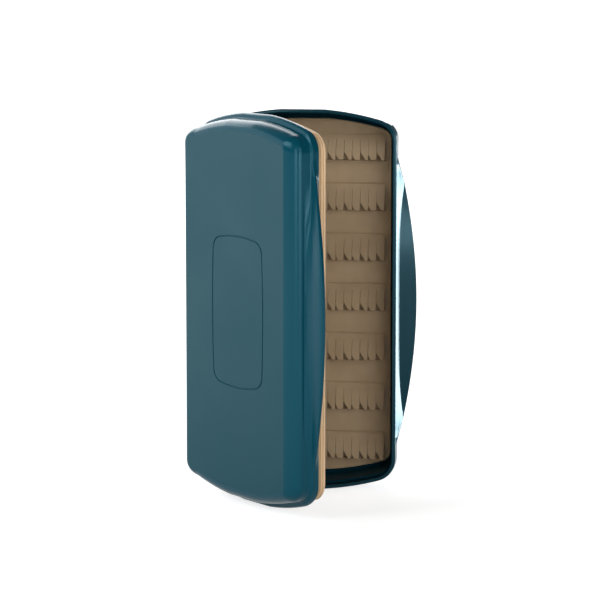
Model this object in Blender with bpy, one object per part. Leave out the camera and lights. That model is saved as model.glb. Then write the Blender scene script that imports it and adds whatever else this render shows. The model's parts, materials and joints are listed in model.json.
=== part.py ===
"""A hinged fly box standing ajar on its arched ends.

Two moulded shells turn on two pinned hinges. Each shell holds a slit silicone mat, the lid carries a
ribbed plug seal in its rim, and bar magnets behind the thumb tabs keep the box shut.

Both shells are drawn in the same local frame, centred on the hinge axis at half height: x runs from the
hinge to the free edge, y is depth away from the parting plane (positive for the tray, negative for the lid)
and z is up.
"""

import math
from collections import namedtuple

import bmesh
import bpy

MM = 0.001

# Rim outline, shared by both shells
HEIGHT = 179.6 * MM
WIDTH = 88.5 * MM
END_RADIUS = 132.5 * MM
CORNER_RADIUS = 11.0 * MM
FOOT_WIDTH = 20.0 * MM

# Shells
LID_DEPTH = 13.35 * MM
TRAY_DEPTH = 24.0 * MM
LID_BAND = 2.8 * MM
TRAY_BAND = 7.0 * MM
BAND_STEP = 0.9 * MM
STEP_FILLET = 0.7 * MM
WALL_DRAFT = 0.3 * MM
SHELL_WALL = 1.8 * MM
INNER_DRAFT = 1.2 * MM
FLOOR_FILLET = 0.4 * MM
RIM_LAND = 1.75 * MM
RIM_ROUND = 0.3 * MM
PANEL_INSET_SIDE = 6.8 * MM
PANEL_INSET_END = 7.6 * MM
PANEL_CROWN = 0.5 * MM
SHOULDER_ROUND_SIDE = 1.5 * MM
SHOULDER_ROUND_END = 3.0 * MM
RIM_GAP = 0.2 * MM

# Thumb tabs along the free edge
TAB_REACH = 9.4 * MM
TAB_MARGIN = 6.5 * MM
TAB_SCOOP = 3.3 * MM
TAB_EDGE = 1.6 * MM
TAB_FLARE = 5.0 * MM
FLARE_REACHES = (0.12, 0.4, 0.75)
FLARE_LIP = 0.8 * MM
EDGE_SHARES = (0.85, 0.7)

# Label outline pressed into the lid's panel
LABEL_WIDTH = 39.0 * MM
LABEL_HEIGHT = 69.4 * MM
LABEL_END_RADIUS = 80.0 * MM
LABEL_CORNER = 6.5 * MM
LABEL_CREST = 4.0 * MM
GROOVE_WIDTH = 0.6 * MM
GROOVE_DEPTH = 0.4 * MM

# Plug seal
SEAL_HEIGHT = 5.4 * MM
SEAL_WALL = 1.8 * MM
SEAL_SEAT = 2.6 * MM
SEAL_RIB = 0.55 * MM
SEAL_RIB_PITCH = 1.4 * MM

# Slit mats
MAT_SHEET = 1.9 * MM
ROW_PITCH = 23.8 * MM
ROW_MARGIN = 8.0 * MM
FLAP_LENGTH = 10.7 * MM
FLAP_STEP = 0.4 * MM
FLAP_RISE = 4.5 * MM
FLAP_MARGIN = 2.2 * MM
FINGER_PITCH = 3.87 * MM
SLIT_WIDTH = 0.4 * MM
SLIT_START = 2.8 * MM
SCALLOP_DEEP = 2.6 * MM
SCALLOP_SHALLOW = 1.3 * MM
SCALLOP_KNEE = (0.45, 0.25)

# Hinges
OPEN_ANGLE = math.radians(45.2)
HINGE_MARGIN = 26.5 * MM
KNUCKLE_RADIUS = 2.2 * MM
KNUCKLE_LENGTH = 8.0 * MM
KNUCKLE_GAP = 0.4 * MM
PIN_RADIUS = 0.9 * MM
PIN_RECESS = 0.3 * MM

# Closure magnets
MAGNET_LENGTH = 18.0 * MM
MAGNET_SPACING = 44.0 * MM
MAGNET_COVER = 0.8 * MM
MAGNET_SIDE = 1.1 * MM

# Clearances
FIT = 0.3 * MM
PLUG_FIT = 0.45 * MM
CUT_OVERRUN = 1.0 * MM

# Facets
CORNER_STEPS = 6
END_STEPS = 4
TAB_STEPS = 12
ROUND_STEPS = 3
SCOOP_STEPS = 3
KNUCKLE_STEPS = 14
PIN_STEPS = 12
SMOOTH_ANGLE = math.radians(28)

# Derived places
END_CENTRE = HEIGHT / 2 - math.sqrt(END_RADIUS**2 - (FOOT_WIDTH / 2) ** 2)
CORNER_U = WIDTH / 2 - CORNER_RADIUS
CORNER_V = END_CENTRE + math.sqrt((END_RADIUS - CORNER_RADIUS) ** 2 - CORNER_U**2)
TAB_HALF = CORNER_V - TAB_MARGIN
LEDGE_INSET = BAND_STEP + SHELL_WALL
MAT_INSET = LEDGE_INSET + INNER_DRAFT + FLOOR_FILLET + FIT
SEAL_INSET = RIM_LAND + PLUG_FIT
MAT_ROWS = 1 + int((HEIGHT - 2 * (MAT_INSET + ROW_MARGIN) - FLAP_LENGTH) / ROW_PITCH)
HINGE_GAP = KNUCKLE_RADIUS + FIT
HINGE_SPACING = 2 * (CORNER_V - HINGE_MARGIN)
HINGE_X = -(HINGE_GAP + WIDTH / 2)
HINGE_Y = -(RIM_GAP + TRAY_BAND / 2)
BORE_RADIUS = PIN_RADIUS + FIT
HINGE_LENGTH = 3 * KNUCKLE_LENGTH + 2 * KNUCKLE_GAP

Loop = namedtuple("Loop", "side end depth reach tab_depth")


def loop(side, depth, end=None, reach=0.0, tab_depth=None):
    """One ring of a shell: its insets at the sides and ends, its depth, and both at the tab's middle."""
    return Loop(side, side if end is None else end, depth, reach, depth if tab_depth is None else tab_depth)


def tab_swell(v, power):
    """How far a tab feature has grown at height v: 0 at the tab's tips, 1 at its middle."""
    return max(0.0, 1.0 - abs(v / TAB_HALF) ** power)


def quarter(width, centre, end_radius, corner_radius, crest):
    """Points of one quarter outline as (centre u, centre v, radius, angle), from the side to the crest."""
    corner_u = width / 2 - corner_radius
    corner_v = centre + math.sqrt((end_radius - corner_radius) ** 2 - corner_u**2)
    turn = math.atan2(corner_v - centre, corner_u)
    top = math.acos(crest / 2 / end_radius)
    points = [(corner_u, corner_v, corner_radius, turn * i / CORNER_STEPS) for i in range(CORNER_STEPS + 1)]
    for i in range(1, END_STEPS + 1):
        points.append((0.0, centre, end_radius, turn + (top - turn) * i / END_STEPS))
    return points


def outline(arc_points, side, end, stations=()):
    """Closed outline of (u, v), anticlockwise, inset by side at the sides and by end at the crests."""
    first = []
    for centre_u, centre_v, radius, angle in arc_points:
        inset = side + (end - side) * math.sin(angle) ** 2
        reach = radius - inset
        first.append((centre_u + reach * math.cos(angle), centre_v + reach * math.sin(angle)))
    second = [(-u, v) for u, v in reversed(first)]
    lower = [(-u, -v) for u, v in first + second]
    free_side = [(first[0][0], v) for v in stations]
    return free_side + first + second + lower


SHELL_ARCS = quarter(WIDTH, END_CENTRE, END_RADIUS, CORNER_RADIUS, FOOT_WIDTH)
TAB_STATIONS = [TAB_HALF * (2 * i / TAB_STEPS - 1) for i in range(TAB_STEPS + 1)]


def ring_points(ring, facing):
    """Local points of one ring of a shell, for the tray (facing 1) or the lid (facing -1)."""
    points = []
    for u, v in outline(SHELL_ARCS, ring.side, ring.end, TAB_STATIONS):
        out, down = (tab_swell(v, 2), tab_swell(v, 4)) if u > CORNER_U else (0.0, 0.0)
        depth = ring.depth + (ring.tab_depth - ring.depth) * down
        x = HINGE_GAP + WIDTH / 2 + u + ring.reach * TAB_REACH * out
        points.append((x, facing * (RIM_GAP + depth), v))
    return points


def loft(rings, close=False):
    """Skins a stack of equal rings: capped at both ends, or closed on itself."""
    mesh = bmesh.new()
    loops = [[mesh.verts.new(point) for point in ring] for ring in rings]
    pairs = list(zip(loops, loops[1:]))
    if close:
        pairs.append((loops[-1], loops[0]))
    else:
        mesh.faces.new(loops[0])
        mesh.faces.new(loops[-1])
    for lower, upper in pairs:
        for i in range(len(lower)):
            j = (i + 1) % len(lower)
            mesh.faces.new((lower[i], lower[j], upper[j], upper[i]))
    bmesh.ops.recalc_face_normals(mesh, faces=mesh.faces)
    return mesh


def prism(points, low, high):
    """A straight prism on (x, y) points, from height low to high."""
    return loft([[(x, y, low) for x, y in points], [(x, y, high) for x, y in points]])


def block(x_span, y_span, z_span):
    """A rectangular block between three spans."""
    (x0, x1), (y0, y1) = x_span, y_span
    return prism([(x0, y0), (x1, y0), (x1, y1), (x0, y1)], *z_span)


def round_bar(radius, low, high, steps):
    """A round bar on the hinge axis."""
    circle = [2 * math.pi * i / steps for i in range(steps)]
    return prism([(radius * math.cos(t), radius * math.sin(t)) for t in circle], low, high)


def merge(meshes):
    """Several separate bodies in one mesh, for use as one cutter or one addition."""
    whole = bmesh.new()
    for mesh in meshes:
        part = bpy.data.meshes.new("part")
        mesh.to_mesh(part)
        mesh.free()
        whole.from_mesh(part)
        bpy.data.meshes.remove(part)
    return whole


def finish(name, colour, roughness, metallic=0.0):
    """A Principled material."""
    material = bpy.data.materials.new(name)
    material.use_nodes = True
    shader = material.node_tree.nodes["Principled BSDF"]
    shader.inputs["Base Color"].default_value = (*colour, 1.0)
    shader.inputs["Roughness"].default_value = roughness
    shader.inputs["Metallic"].default_value = metallic
    material.diffuse_color = (*colour, 1.0)
    return material


def place(name, mesh, carrier, material=None):
    """Makes a named object of a mesh on its carrier empty."""
    data = bpy.data.meshes.new(name)
    mesh.to_mesh(data)
    mesh.free()
    data.shade_smooth()
    data.set_sharp_from_angle(angle=SMOOTH_ANGLE)
    made = bpy.data.objects.new(name, data)
    bpy.context.scene.collection.objects.link(made)
    made.parent = carrier
    if material:
        data.materials.append(material)
    return made


def shape_with(target, operation, name, mesh):
    """Adds or cuts a helper body, on the target's own carrier."""
    helper = place(name, mesh, target.parent)
    helper.hide_render = True
    helper.display_type = "WIRE"
    modifier = target.modifiers.new(name, "BOOLEAN")
    modifier.operation = operation
    modifier.object = helper


def carrier(name, turn):
    """An empty on the hinge axis at half height, turned about it."""
    made = bpy.data.objects.new(name, None)
    made.location = (HINGE_X, HINGE_Y, HEIGHT / 2)
    made.rotation_euler = (0.0, 0.0, turn)
    bpy.context.scene.collection.objects.link(made)
    return made


def outside_rings(depth, band):
    """Rings from the panel's crease, over the shoulder and down the wall to the rim's outer edge."""
    wall = BAND_STEP + WALL_DRAFT
    top = depth - PANEL_CROWN
    rings = [loop(PANEL_INSET_SIDE, depth, PANEL_INSET_END)]
    for i in range(ROUND_STEPS + 1):
        angle = math.pi / 2 * (1 - i / ROUND_STEPS)
        side = wall + SHOULDER_ROUND_SIDE * (1 - math.cos(angle))
        end = wall + SHOULDER_ROUND_END * (1 - math.cos(angle))
        rings.append(loop(side, top - SHOULDER_ROUND_SIDE * (1 - math.sin(angle)), end))
    wall_foot = top - SHOULDER_ROUND_SIDE
    tab_under = RIM_ROUND + TAB_SCOOP + TAB_EDGE
    step_top = band + STEP_FILLET
    flare_foot = max(tab_under + TAB_FLARE, step_top)
    high, middle, low = FLARE_REACHES
    flare = loop(BAND_STEP + WALL_DRAFT / 2, (step_top + wall_foot) / 2, reach=high)
    rings.append(flare._replace(tab_depth=(flare_foot + wall_foot) / 2))
    rings.append(loop(BAND_STEP, step_top, reach=middle, tab_depth=(tab_under + flare_foot) / 2))
    rings.append(loop(0.0, band, reach=low, tab_depth=tab_under + FLARE_LIP))
    for share, tab_depth in zip(EDGE_SHARES, (tab_under, tab_under - TAB_EDGE)):
        rings.append(loop(0.0, RIM_ROUND + (band - RIM_ROUND) * share, reach=1.0, tab_depth=tab_depth))
    for i in range(SCOOP_STEPS - 1, 0, -1):
        reach = i / SCOOP_STEPS
        scoop = RIM_ROUND + TAB_SCOOP * (1 - (1 - reach) ** 2)
        plain = RIM_ROUND + (band - RIM_ROUND) * reach * EDGE_SHARES[-1]
        rings.append(loop(0.0, plain, reach=reach, tab_depth=scoop))
    rings.append(loop(0.0, RIM_ROUND))
    rings.append(loop(RIM_ROUND, 0.0))
    return rings


def inside_rings(depth, seat):
    """Rings from the rim land, down the seal's seat and over its ledge to the floor."""
    floor = depth - SHELL_WALL
    foot = LEDGE_INSET + INNER_DRAFT
    return [
        loop(RIM_LAND, 0.0),
        loop(RIM_LAND, seat),
        loop(LEDGE_INSET, seat),
        loop(foot, floor - 2 * FLOOR_FILLET),
        loop(foot + FLOOR_FILLET, floor),
    ]


def knuckle(facing, low, high):
    """A hinge barrel with the leaf that roots it in the rim band."""
    leaf_low = RIM_GAP + FIT
    start = math.asin(leaf_low / KNUCKLE_RADIUS)
    sweep = 1.5 * math.pi + start
    points = []
    for i in range(KNUCKLE_STEPS + 1):
        angle = math.pi / 2 + sweep * i / KNUCKLE_STEPS
        points.append((KNUCKLE_RADIUS * math.cos(angle), facing * KNUCKLE_RADIUS * math.sin(angle)))
    root = HINGE_GAP + RIM_LAND / 2
    points.append((root, facing * leaf_low))
    points.append((root, facing * KNUCKLE_RADIUS))
    return prism(points, low, high)


def hinge_centres():
    """Heights of the two hinges and the word for each."""
    return (("upper", HINGE_SPACING / 2), ("lower", -HINGE_SPACING / 2))


def add_hinges(shell, facing):
    """Moulds this shell's knuckles on its hinge side: the tray's outer pair or the lid's middle one."""
    knuckles = []
    bores = []
    step = KNUCKLE_LENGTH + KNUCKLE_GAP
    for _, centre in hinge_centres():
        for slot in (-1, 1) if facing > 0 else (0,):
            middle = centre + slot * step
            knuckles.append(knuckle(facing, middle - KNUCKLE_LENGTH / 2, middle + KNUCKLE_LENGTH / 2))
        reach = HINGE_LENGTH / 2 + CUT_OVERRUN
        bores.append(round_bar(BORE_RADIUS, centre - reach, centre + reach, PIN_STEPS))
    shape_with(shell, "UNION", shell.name + "_knuckles", merge(knuckles))
    shape_with(shell, "DIFFERENCE", shell.name + "_pin_bores", merge(bores))


def magnet_spans(facing, centre, spare):
    """Spans of a magnet, or of its slot when spare is the clearance round it."""
    inner = HINGE_GAP + WIDTH - RIM_LAND
    depths = sorted(
        facing * (RIM_GAP + MAGNET_COVER + d) for d in (FIT - spare, FIT + MAGNET_SIDE + spare)
    )
    length = MAGNET_LENGTH / 2 + spare
    return (inner, inner + MAGNET_SIDE + spare), depths, (centre - length, centre + length)


def add_magnets(shell, facing, word, material):
    """Cuts two slots in the wall behind the tab and seats a bar magnet in each."""
    slots = []
    for place_word, side in (("upper", 1), ("lower", -1)):
        centre = side * MAGNET_SPACING / 2
        (near, far), depths, heights = magnet_spans(facing, centre, FIT)
        slots.append(block((near - CUT_OVERRUN, far), depths, heights))
        body = block(*magnet_spans(facing, centre, 0.0))
        place(f"{word}_magnet_{place_word}", body, shell.parent, material)
    shape_with(shell, "DIFFERENCE", shell.name + "_magnet_slots", merge(slots))


def add_label(shell):
    """Presses the label's outline into the lid's panel as a fine groove."""
    centre = LABEL_HEIGHT / 2 - math.sqrt(LABEL_END_RADIUS**2 - (LABEL_CREST / 2) ** 2)
    arcs = quarter(LABEL_WIDTH, centre, LABEL_END_RADIUS, LABEL_CORNER, LABEL_CREST)
    middle = HINGE_GAP + WIDTH / 2
    face = -(RIM_GAP + LID_DEPTH)
    rings = []
    for inset, depth in ((0, -CUT_OVERRUN), (0, GROOVE_DEPTH), (1, GROOVE_DEPTH), (1, -CUT_OVERRUN)):
        points = outline(arcs, inset * GROOVE_WIDTH, inset * GROOVE_WIDTH)
        rings.append([(middle + u, face + depth, v) for u, v in points])
    shape_with(shell, "DIFFERENCE", "label_groove", loft(rings, close=True))


def shell(name, facing, depth, band, seat, half, material):
    """One moulded shell with its knuckles."""
    rings = outside_rings(depth, band) + inside_rings(depth, seat)
    made = place(name, loft([ring_points(ring, facing) for ring in rings]), half, material)
    add_hinges(made, facing)
    return made


def rim_seal(half, material):
    """The ribbed plug seal: its root stands on the lid's ledge, its ribs enter the tray's rim."""
    waist = SEAL_INSET + SEAL_RIB
    inner = SEAL_INSET + SEAL_WALL
    second = -(SEAL_HEIGHT - SEAL_RIB_PITCH / 2)
    first = second + SEAL_RIB_PITCH
    root = SEAL_SEAT - FIT
    section = [(RIM_LAND + FIT, root), (RIM_LAND + FIT, RIM_ROUND), (waist, first + SEAL_RIB_PITCH / 2)]
    section += [(SEAL_INSET, first), (waist, first - SEAL_RIB_PITCH / 2), (SEAL_INSET, second)]
    section += [(waist, -SEAL_HEIGHT), (inner, -SEAL_HEIGHT), (inner, root)]
    rings = [ring_points(loop(inset, depth), -1) for inset, depth in section]
    place("rim_seal", loft(rings, close=True), half, material)


def comb(middle, top, fingers):
    """Plan outline of one row: a straight top edge over slit fingers with slanted, scalloped tips."""
    left = middle - fingers * FINGER_PITCH / 2
    tip = top - FLAP_LENGTH
    knee_across, knee_up = SCALLOP_KNEE
    points = [(left, top)]
    for i in range(fingers):
        start = left + i * FINGER_PITCH
        end = start + FINGER_PITCH
        scallop = SCALLOP_SHALLOW if i % 2 else SCALLOP_DEEP
        points.append((start + SLIT_WIDTH / 2, tip + scallop))
        points.append((start + FINGER_PITCH * knee_across, tip + scallop * knee_up))
        points.append((end - SLIT_WIDTH, tip))
        if i < fingers - 1:
            points.append((end, top - SLIT_START))
    points.append((left + fingers * FINGER_PITCH, top))
    return points


def mat(name, facing, depth, half, material):
    """A slit mat lying on its shell's floor: a sheet with ramped rows of fingers."""
    back = depth - SHELL_WALL - FIT
    face = back - MAT_SHEET
    sheet = [ring_points(loop(MAT_INSET, d), facing) for d in (back, face)]
    made = place(name, loft(sheet), half, material)
    span = WIDTH - 2 * (MAT_INSET + FLAP_MARGIN)
    fingers = int(span / FINGER_PITCH)
    slope = (FLAP_RISE - FLAP_STEP) / FLAP_LENGTH
    rows = []
    for row in range(MAT_ROWS):
        top = ROW_PITCH * ((MAT_ROWS - 1) / 2 - row) + FLAP_LENGTH / 2
        points = comb(HINGE_GAP + WIDTH / 2, top, fingers)
        base = [(u, facing * (RIM_GAP + face + MAT_SHEET / 2), v) for u, v in points]
        ramp = [(u, facing * (RIM_GAP + face - FLAP_STEP - slope * (top - v)), v) for u, v in points]
        rows.append(loft([base, ramp]))
    shape_with(made, "UNION", name + "_rows", merge(rows))


def hinge_pins(half, material):
    """A plain steel pin through each hinge, just inside its knuckles."""
    for word, centre in hinge_centres():
        reach = HINGE_LENGTH / 2 - PIN_RECESS
        pin = round_bar(PIN_RADIUS, centre - reach, centre + reach, PIN_STEPS)
        place(f"hinge_pin_{word}", pin, half, material)


def main():
    """Clears the scene and builds the box."""
    for item in list(bpy.data.objects):
        bpy.data.objects.remove(item, do_unlink=True)

    teal = finish("teal_gloss_plastic", (0.045, 0.125, 0.16), 0.18)
    tan = finish("tan_silicone", (0.42, 0.30, 0.20), 0.6)
    seal_tan = finish("seal_silicone", (0.70, 0.46, 0.30), 0.5)
    steel = finish("hinge_steel", (0.62, 0.62, 0.64), 0.3, 1.0)
    nickel = finish("magnet_nickel", (0.70, 0.69, 0.66), 0.35, 1.0)

    tray_half = carrier("tray_half", 0.0)
    lid_half = carrier("lid_half", -OPEN_ANGLE)

    plug_depth = SEAL_HEIGHT + CUT_OVERRUN
    tray = shell("back_shell", 1, TRAY_DEPTH, TRAY_BAND, plug_depth, tray_half, teal)
    lid = shell("front_shell", -1, LID_DEPTH, LID_BAND, SEAL_SEAT, lid_half, teal)
    add_label(lid)
    add_magnets(tray, 1, "back", nickel)
    add_magnets(lid, -1, "front", nickel)
    rim_seal(lid_half, seal_tan)
    mat("back_mat", 1, TRAY_DEPTH, tray_half, tan)
    mat("front_mat", -1, LID_DEPTH, lid_half, tan)
    hinge_pins(tray_half, steel)


main()
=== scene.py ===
"""Dresses the fly box for its picture.

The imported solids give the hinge, the opening angle and the place of every node. This script stands finer
meshes in for the shells, mats, seal, pins and magnets, gives each its finish, and sets up a plain studio
with the photograph's camera.
"""

import json
import logging
import math
from collections.abc import Iterable, Sequence
from dataclasses import dataclass, fields
from enum import Enum

import bmesh
import bpy
from mathutils import Matrix, Vector


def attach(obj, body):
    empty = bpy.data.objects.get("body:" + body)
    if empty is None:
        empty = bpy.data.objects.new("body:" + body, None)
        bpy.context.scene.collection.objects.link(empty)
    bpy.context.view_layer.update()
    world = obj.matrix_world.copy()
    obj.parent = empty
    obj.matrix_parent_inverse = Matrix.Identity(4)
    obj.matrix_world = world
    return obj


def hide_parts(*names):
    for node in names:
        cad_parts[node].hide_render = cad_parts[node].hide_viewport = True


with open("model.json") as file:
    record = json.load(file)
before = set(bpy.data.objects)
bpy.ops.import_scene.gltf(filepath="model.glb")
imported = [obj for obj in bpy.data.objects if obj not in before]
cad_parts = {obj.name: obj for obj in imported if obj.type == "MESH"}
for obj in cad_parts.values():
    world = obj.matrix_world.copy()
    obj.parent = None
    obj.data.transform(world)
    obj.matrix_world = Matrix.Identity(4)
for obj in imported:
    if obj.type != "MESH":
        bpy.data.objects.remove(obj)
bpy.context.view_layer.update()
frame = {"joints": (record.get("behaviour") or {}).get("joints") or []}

SWING = frame["joints"][0]
LOG = logging.getLogger("fly_box")
MM = 0.001
FIT = 0.3 * MM
OVERRUN = 1.0 * MM
SMOOTH_ANGLE = math.radians(32)
NOISE_MIDDLE = (0.3, 0.7)

Flat = tuple[float, float]
Point = tuple[float, float, float]
Colour = tuple[float, float, float]
Mesh = bmesh.types.BMesh
Object = bpy.types.Object
Material = bpy.types.Material
Socket = bpy.types.NodeSocket


class Join(Enum):
    """How one body is joined to another."""

    ADD = "UNION"
    CUT = "DIFFERENCE"


class Ease(Enum):
    """How a ramp starts and stops."""

    STRAIGHT = "LINEAR"
    SOFT = "SMOOTHSTEP"


class Half(Enum):
    """The two halves of the box: the body that each rides on, and the way its depth runs."""

    TRAY = ("tray", 1)
    LID = ("lid", -1)

    @property
    def body(self) -> str:
        """Name of the body that the half's pieces ride on."""
        return self.value[0]

    @property
    def facing(self) -> int:
        """1 where depth runs along +y of the half's own frame, -1 where it runs along -y."""
        return self.value[1]

    def matrix(self) -> Matrix:
        """Where the half's own frame, on the hinge axis at half height, lies at rest."""
        turn = math.radians(SWING["range_deg"][0]) if self is Half.LID else 0.0
        return Matrix.Translation(SWING["pos_m"]) @ Matrix.Rotation(turn, 4, "Z")


@dataclass(frozen=True)
class Tab:
    """A thumb tab: a lip at the rim's free side, with a scoop between it and the rim.

    The scoop's profile runs from the lip to the rim as shares of its reach, its depth and its bevel. The
    bevel is a flat beside the rim with lean as its run over fall: facet deep at the tab's middle, and deeper
    by arch at its tips. Past the bevel the scoop falls by slope. The outer side flares out to the lip, and
    ease softens how the flare starts at the tips. The powers say how the scoop, the lip and the arch change
    between the tab's middle and its tips.
    """

    reach: float
    scoop: float
    profile: tuple[Point, ...]
    edge: float = 1.6 * MM
    flare: float = 5.0 * MM
    lip: float = 0.5 * MM
    flare_share: float = 0.84
    facet: float = 0.0
    lean: float = 0.0
    arch: float = 0.0
    slope: float = 0.0
    power: int = 4
    lip_power: int = 2
    arch_power: int = 4
    ease: float = 0.6

    @property
    def floor(self) -> float:
        """Depth of the scoop at the lip, at the tab's middle."""
        return self.scoop + self.facet + self.slope * (self.reach - self.lean * self.facet)


@dataclass(frozen=True)
class Ring:
    """One ring of a shell: its insets at the hinge side, the ends and the free side, its depth, and its tab.

    On the tab it lies at tab_depth, has its shares of the tab's reach and bevel, and starts with its ease.
    """

    side: float
    end: float
    free: float
    depth: float
    reach: float = 0.0
    tab_depth: float = 0.0
    bevel: float = 0.0
    ease: float = 0.0


def plain_ring(inset: float, depth: float, extra: float = 0.0) -> Ring:
    """A ring with no tab and the same inset all round, but for some extra at the ends."""
    return Ring(inset, inset + extra, inset, depth, tab_depth=depth)


NO_TAB = Tab(0.0, 0.0, ())
TRAY_SCOOP = ((0.6, 0.0, 1.0), (0.25, 0.0, 1.0), (0.0, 0.0, 1.0), (0.0, 0.0, 0.5), (0.0, 0.0, 0.0))
LID_SCOOP = ((0.75, 0.94, 0.0), (0.5, 0.75, 0.0), (0.25, 0.44, 0.0), (0.0, 0.0, 0.0))


@dataclass(frozen=True)
class Round:
    """A quarter of an ellipse, or the part of it past an angle of start."""

    width: float
    drop: float
    start: float = 0.0


def arc(steps: int, sweep: float = math.pi / 2, start: float = 0.0) -> list[Flat]:
    """Points of a unit circle at even steps of a sweep, both its ends among them."""
    angles = [start + sweep * i / steps for i in range(steps + 1)]
    return [(math.cos(angle), math.sin(angle)) for angle in angles]


def heights(reach: float, steps: int) -> list[float]:
    """Even steps from one reach below half height to one above it."""
    return [reach * (2 * i / steps - 1) for i in range(steps + 1)]


def pair(place: float) -> dict[str, float]:
    """Heights of a piece's upper and lower copies."""
    return {"upper": place, "lower": -place}


@dataclass(frozen=True)
class Outline:
    """A tall rounded outline with bowed ends: u runs across from its middle, v up from half height."""

    width: float
    height: float
    end_radius: float
    corner_radius: float
    crest: float
    corner_steps: int = 14
    end_steps: int = 16

    @property
    def end_centre(self) -> float:
        """Height of the centre of the upper end's arc."""
        return self.height / 2 - math.sqrt(self.end_radius**2 - (self.crest / 2) ** 2)

    @property
    def corner(self) -> Flat:
        """Centre of the upper right corner's arc."""
        u = self.width / 2 - self.corner_radius
        return u, self.end_centre + math.sqrt((self.end_radius - self.corner_radius) ** 2 - u**2)

    def quarter(self, side: float, end: float) -> list[Flat]:
        """The upper right quarter, from the side to the crest.

        Args:
            side: Inset at the sides.
            end: Inset at the crests.

        Returns:
            Points in order, anticlockwise.
        """
        corner_u, corner_v = self.corner
        turn = math.atan2(corner_v - self.end_centre, corner_u)
        top = math.acos(self.crest / 2 / self.end_radius)
        corner, bow = arc(self.corner_steps, turn), arc(self.end_steps, top - turn, turn)
        runs = [(corner_u, corner_v, self.corner_radius, corner)]
        runs.append((0.0, self.end_centre, self.end_radius, bow[1:]))
        points = []
        for u, v, radius, turns in runs:
            for x, y in turns:
                reach = radius - side - (end - side) * y**2
                points.append((u + reach * x, v + reach * y))
        return points

    def points(
        self, insets: Point, rising: Sequence[float] = (), falling: Sequence[float] = ()
    ) -> list[Flat]:
        """The whole outline, with extra points up its right-hand side and down its left.

        Args:
            insets: Insets at the left-hand side, the crests and the right-hand side.
            rising: Heights of the extra points on the right.
            falling: Heights of the extra points on the left.

        Returns:
            Points in order, anticlockwise.
        """
        side, end, free = insets
        right, left = self.quarter(free, end), self.quarter(side, end)
        upper = [(right[0][0], v) for v in rising] + right + [(-u, v) for u, v in reversed(left)]
        lower_left = [(-left[0][0], v) for v in falling] + [(-u, -v) for u, v in left]
        return upper + lower_left + [(u, -v) for u, v in reversed(right)]


@dataclass(frozen=True)
class Rim(Outline):
    """The rim outline that both halves share, with the thumb tab and the hinge's place beside it."""

    width: float = 88.5 * MM
    height: float = 179.6 * MM
    end_radius: float = 132.5 * MM
    corner_radius: float = 11.0 * MM
    crest: float = 20.0 * MM
    hinge_gap: float = 2.5 * MM
    parting: float = 0.2 * MM
    land: float = 1.75 * MM
    edge_round: float = 0.3 * MM
    tab_margin: float = 6.5 * MM
    tab_steps: int = 72

    @property
    def middle(self) -> float:
        """Distance from the hinge axis to the middle of the box."""
        return self.hinge_gap + self.width / 2

    @property
    def tab_half(self) -> float:
        """Half the length of the thumb tab."""
        return self.corner[1] - self.tab_margin

    def swell(self, v: float, power: int) -> float:
        """How far a tab feature has grown at height v: 0 at the tab's tips, 1 at its middle."""
        return max(0.0, 1.0 - abs(v / self.tab_half) ** power)

    def lay(self, ring: Ring, facing: int, tab: Tab = NO_TAB) -> list[Point]:
        """Points of one ring in a half's own frame.

        Args:
            ring: The ring to lay out.
            facing: 1 for the tray, -1 for the lid.
            tab: The half's thumb tab.

        Returns:
            Points in order round the ring.
        """
        points = []
        rising = heights(self.tab_half, self.tab_steps)
        for u, v in self.points((ring.side, ring.end, ring.free), rising):
            on_tab = u > self.corner[0]
            lip = tab.reach * self.swell(v, tab.lip_power) if on_tab else 0.0
            down = self.swell(v, tab.power) if on_tab else 0.0
            bevel = min(tab.lean * (tab.facet + tab.arch * (v / self.tab_half) ** tab.arch_power), lip)
            ease = (lip / tab.reach) ** ring.ease if lip else 0.0
            run = ring.reach * (lip - bevel) * ease
            fall = tab.slope * run + (ring.bevel * bevel / tab.lean if tab.lean else 0.0)
            depth = ring.depth + (ring.tab_depth + fall - ring.depth) * down * ease
            across = self.middle + u + run + ring.bevel * bevel
            points.append((across, facing * (self.parting + depth), v))
        return points


RIM = Rim()


def smoothed(values: Sequence[float], steps: int) -> list[float]:
    """A smooth run through values that never swings past them.

    Args:
        values: The values to pass through, evenly spaced.
        steps: How many samples each span gets.

    Returns:
        Samples along the run, the given values among them.
    """
    spans = [b - a for a, b in zip(values, values[1:])]
    slopes = [spans[0]]
    for a, b in zip(spans, spans[1:]):
        slopes.append(2 * a * b / (a + b) if a * b > 0 else 0.0)
    slopes.append(spans[-1])
    samples = []
    for i, start in enumerate(values[:-1]):
        for k in range(steps):
            t = k / steps
            rest = 1 - t
            value = rest * rest * (1 + 2 * t) * start + t * t * (3 - 2 * t) * values[i + 1]
            samples.append(value + t * rest * (rest * slopes[i] - t * slopes[i + 1]))
    return samples + [values[-1]]


def smooth_rings(rings: Sequence[Ring], steps: int) -> list[Ring]:
    """Fills in rings so that a stack of them runs smoothly through the given ones."""
    runs = [smoothed([getattr(ring, item.name) for ring in rings], steps) for item in fields(Ring)]
    return [Ring(*values) for values in zip(*runs)]


def loft(rings: Sequence[Sequence[Point]], close: bool = False) -> Mesh:
    """Skins a stack of equal rings.

    Args:
        rings: The rings, each a list of points.
        close: Whether the last ring joins the first; otherwise both ends are capped.

    Returns:
        A closed mesh with its faces pointing out.
    """
    mesh = bmesh.new()
    loops = [[mesh.verts.new(point) for point in ring] for ring in rings]
    pairs = list(zip(loops, loops[1:]))
    if close:
        pairs.append((loops[-1], loops[0]))
    else:
        mesh.faces.new(loops[0])
        mesh.faces.new(loops[-1])
    for lower, upper in pairs:
        for i, start in enumerate(lower):
            j = (i + 1) % len(lower)
            mesh.faces.new((start, lower[j], upper[j], upper[i]))
    bmesh.ops.recalc_face_normals(mesh, faces=mesh.faces)
    return mesh


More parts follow.
